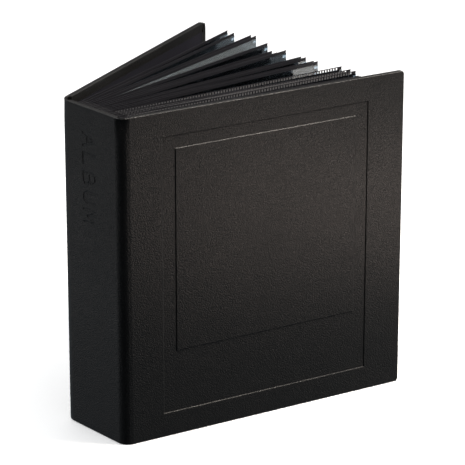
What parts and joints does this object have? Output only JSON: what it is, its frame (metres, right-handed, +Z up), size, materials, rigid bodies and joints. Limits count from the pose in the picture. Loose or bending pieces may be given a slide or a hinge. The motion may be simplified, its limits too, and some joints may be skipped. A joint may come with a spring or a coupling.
{
  "type": "photo album",
  "caption": "Case-bound black pocket album for instant prints, standing partly open, with hinged covers and fanned leaves of clear pockets.",
  "frame": {"origin": "middle of the spine's tail edge, midway through the spine's wall, on the surface the album stands on", "axes": "+Z up along the spine, +X from the spine towards the fore edge, +Y from the front cover to the back cover"},
  "size_m": [0.2366, 0.2082, 0.245],
  "materials": {
    "leather_wrap": "fine-grained black leather-look wrap, satin",
    "greyboard": "plain greyboard, matte",
    "endpaper": "black uncoated endpaper, matte",
    "binding": "black binding strip, matte",
    "page_core": "black card core with punched margins, matte",
    "pocket_film": "clear glossy film with ribbed welds"
  },
  "bodies": {
    "spine": {"spine_wrap": "leather_wrap", "spine_board": "greyboard", "spine_lining": "endpaper", "front_hinge_strip": "leather_wrap", "back_hinge_strip": "leather_wrap", "binding_strip": "binding", "page_guards": "binding"},
    "front_cover": {"front_cover_wrap": "leather_wrap", "front_cover_board": "greyboard", "front_cover_lining": "endpaper"},
    "back_cover": {"back_cover_wrap": "leather_wrap", "back_cover_board": "greyboard", "back_cover_lining": "endpaper"},
    "leaf_body_01": {"leaf_01": "page_core", "pockets_01": "pocket_film"},
    "leaf_body_02": {"leaf_02": "page_core", "pockets_02": "pocket_film"},
    "leaf_body_03": {"leaf_03": "page_core", "pockets_03": "pocket_film"},
    "leaf_body_04": {"leaf_04": "page_core", "pockets_04": "pocket_film"},
    "leaf_body_05": {"leaf_05": "page_core", "pockets_05": "pocket_film"},
    "leaf_body_06": {"leaf_06": "page_core", "pockets_06": "pocket_film"},
    "leaf_body_07": {"leaf_07": "page_core", "pockets_07": "pocket_film"},
    "leaf_body_08": {"leaf_08": "page_core", "pockets_08": "pocket_film"},
    "leaf_body_09": {"leaf_09": "page_core", "pockets_09": "pocket_film"},
    "leaf_body_10": {"leaf_10": "page_core", "pockets_10": "pocket_film"},
    "leaf_body_11": {"leaf_11": "page_core", "pockets_11": "pocket_film"},
    "leaf_body_12": {"leaf_12": "page_core", "pockets_12": "pocket_film"},
    "leaf_body_13": {"leaf_13": "page_core", "pockets_13": "pocket_film"},
    "leaf_body_14": {"leaf_14": "page_core", "pockets_14": "pocket_film"},
    "leaf_body_15": {"leaf_15": "page_core", "pockets_15": "pocket_film"},
    "leaf_body_16": {"leaf_16": "page_core", "pockets_16": "pocket_film"},
    "leaf_body_17": {"leaf_17": "page_core", "pockets_17": "pocket_film"},
    "leaf_body_18": {"leaf_18": "page_core", "pockets_18": "pocket_film"},
    "leaf_body_19": {"leaf_19": "page_core", "pockets_19": "pocket_film"},
    "leaf_body_20": {"leaf_20": "page_core", "pockets_20": "pocket_film"}
  },
  "joints": [
    {"name": "front_cover_hinge", "type": "hinge", "parent": "spine", "child": "front_cover", "pos_m": [0, -0.0328, 0.1225], "axis": [0, 0, 1], "range_deg": [-81.5, 8.5], "deforming": ["front_hinge_strip"]},
    {"name": "back_cover_hinge", "type": "hinge", "parent": "spine", "child": "back_cover", "pos_m": [0, 0.0328, 0.1225], "axis": [0, 0, 1], "range_deg": [-26, 64], "deforming": ["back_hinge_strip"]},
    {"name": "leaf_01_root", "type": "hinge", "parent": "spine", "child": "leaf_body_01", "pos_m": [0.0067, -0.02565, 0.123], "axis": [0, 0, 1], "range_deg": [-50.83, 5.31]},
    {"name": "leaf_02_root", "type": "hinge", "parent": "spine", "child": "leaf_body_02", "pos_m": [0.0067, -0.02295, 0.123], "axis": [0, 0, 1], "range_deg": [-49.87, 5.21]},
    {"name": "leaf_03_root", "type": "hinge", "parent": "spine", "child": "leaf_body_03", "pos_m": [0.0067, -0.02025, 0.123], "axis": [0, 0, 1], "range_deg": [-49.87, 5.21]},
    {"name": "leaf_04_root", "type": "hinge", "parent": "spine", "child": "leaf_body_04", "pos_m": [0.0067, -0.01755, 0.123], "axis": [0, 0, 1], "range_deg": [-49.87, 5.21]},
    {"name": "leaf_05_root", "type": "hinge", "parent": "spine", "child": "leaf_body_05", "pos_m": [0.0067, -0.01485, 0.123], "axis": [0, 0, 1], "range_deg": [-47.95, 5.01]},
    {"name": "leaf_06_root", "type": "hinge", "parent": "spine", "child": "leaf_body_06", "pos_m": [0.0067, -0.01215, 0.123], "axis": [0, 0, 1], "range_deg": [-46.03, 4.81]},
    {"name": "leaf_07_root", "type": "hinge", "parent": "spine", "child": "leaf_body_07", "pos_m": [0.0067, -0.00945, 0.123], "axis": [0, 0, 1], "range_deg": [-45.08, 4.71]},
    {"name": "leaf_08_root", "type": "hinge", "parent": "spine", "child": "leaf_body_08", "pos_m": [0.0067, -0.00675, 0.123], "axis": [0, 0, 1], "range_deg": [-44.12, 4.61]},
    {"name": "leaf_09_root", "type": "hinge", "parent": "spine", "child": "leaf_body_09", "pos_m": [0.0067, -0.00405, 0.123], "axis": [0, 0, 1], "range_deg": [-2.11, 5.18]},
    {"name": "leaf_10_root", "type": "hinge", "parent": "spine", "child": "leaf_body_10", "pos_m": [0.0067, -0.00135, 0.123], "axis": [0, 0, 1], "range_deg": [-2.61, 6.41]},
    {"name": "leaf_11_root", "type": "hinge", "parent": "spine", "child": "leaf_body_11", "pos_m": [0.0067, 0.00135, 0.123], "axis": [0, 0, 1], "range_deg": [-4.21, 10.35]},
    {"name": "leaf_12_root", "type": "hinge", "parent": "spine", "child": "leaf_body_12", "pos_m": [0.0067, 0.00405, 0.123], "axis": [0, 0, 1], "range_deg": [-4.91, 12.07]},
    {"name": "leaf_13_root", "type": "hinge", "parent": "spine", "child": "leaf_body_13", "pos_m": [0.0067, 0.00675, 0.123], "axis": [0, 0, 1], "range_deg": [-8.51, 20.93]},
    {"name": "leaf_14_root", "type": "hinge", "parent": "spine", "child": "leaf_body_14", "pos_m": [0.0067, 0.00945, 0.123], "axis": [0, 0, 1], "range_deg": [-10.31, 25.36]},
    {"name": "leaf_15_root", "type": "hinge", "parent": "spine", "child": "leaf_body_15", "pos_m": [0.0067, 0.01215, 0.123], "axis": [0, 0, 1], "range_deg": [-11.01, 27.09]},
    {"name": "leaf_16_root", "type": "hinge", "parent": "spine", "child": "leaf_body_16", "pos_m": [0.0067, 0.01485, 0.123], "axis": [0, 0, 1], "range_deg": [-11.61, 28.56]},
    {"name": "leaf_17_root", "type": "hinge", "parent": "spine", "child": "leaf_body_17", "pos_m": [0.0067, 0.01755, 0.123], "axis": [0, 0, 1], "range_deg": [-14.01, 34.47]},
    {"name": "leaf_18_root", "type": "hinge", "parent": "spine", "child": "leaf_body_18", "pos_m": [0.0067, 0.02025, 0.123], "axis": [0, 0, 1], "range_deg": [-14.71, 36.2]},
    {"name": "leaf_19_root", "type": "hinge", "parent": "spine", "child": "leaf_body_19", "pos_m": [0.0067, 0.02295, 0.123], "axis": [0, 0, 1], "range_deg": [-18.41, 45.3]},
    {"name": "leaf_20_root", "type": "hinge", "parent": "spine", "child": "leaf_body_20", "pos_m": [0.0067, 0.02565, 0.123], "axis": [0, 0, 1], "range_deg": [-19.51, 48.01]}
  ],
  "couplings": [
    {"joint": "leaf_01_root", "follows": "front_cover_hinge", "ratio": 0.62353},
    {"joint": "leaf_02_root", "follows": "front_cover_hinge", "ratio": 0.61177},
    {"joint": "leaf_03_root", "follows": "front_cover_hinge", "ratio": 0.61177},
    {"joint": "leaf_04_root", "follows": "front_cover_hinge", "ratio": 0.61177},
    {"joint": "leaf_05_root", "follows": "front_cover_hinge", "ratio": 0.58823},
    {"joint": "leaf_06_root", "follows": "front_cover_hinge", "ratio": 0.56471},
    {"joint": "leaf_07_root", "follows": "front_cover_hinge", "ratio": 0.55294},
    {"joint": "leaf_08_root", "follows": "front_cover_hinge", "ratio": 0.54118},
    {"joint": "leaf_09_root", "follows": "back_cover_hinge", "ratio": 0.080769},
    {"joint": "leaf_10_root", "follows": "back_cover_hinge", "ratio": 0.1},
    {"joint": "leaf_11_root", "follows": "back_cover_hinge", "ratio": 0.16154},
    {"joint": "leaf_12_root", "follows": "back_cover_hinge", "ratio": 0.18846},
    {"joint": "leaf_13_root", "follows": "back_cover_hinge", "ratio": 0.32692},
    {"joint": "leaf_14_root", "follows": "back_cover_hinge", "ratio": 0.39615},
    {"joint": "leaf_15_root", "follows": "back_cover_hinge", "ratio": 0.42308},
    {"joint": "leaf_16_root", "follows": "back_cover_hinge", "ratio": 0.44615},
    {"joint": "leaf_17_root", "follows": "back_cover_hinge", "ratio": 0.53846},
    {"joint": "leaf_18_root", "follows": "back_cover_hinge", "ratio": 0.56539},
    {"joint": "leaf_19_root", "follows": "back_cover_hinge", "ratio": 0.70769},
    {"joint": "leaf_20_root", "follows": "back_cover_hinge", "ratio": 0.75}
  ]
}
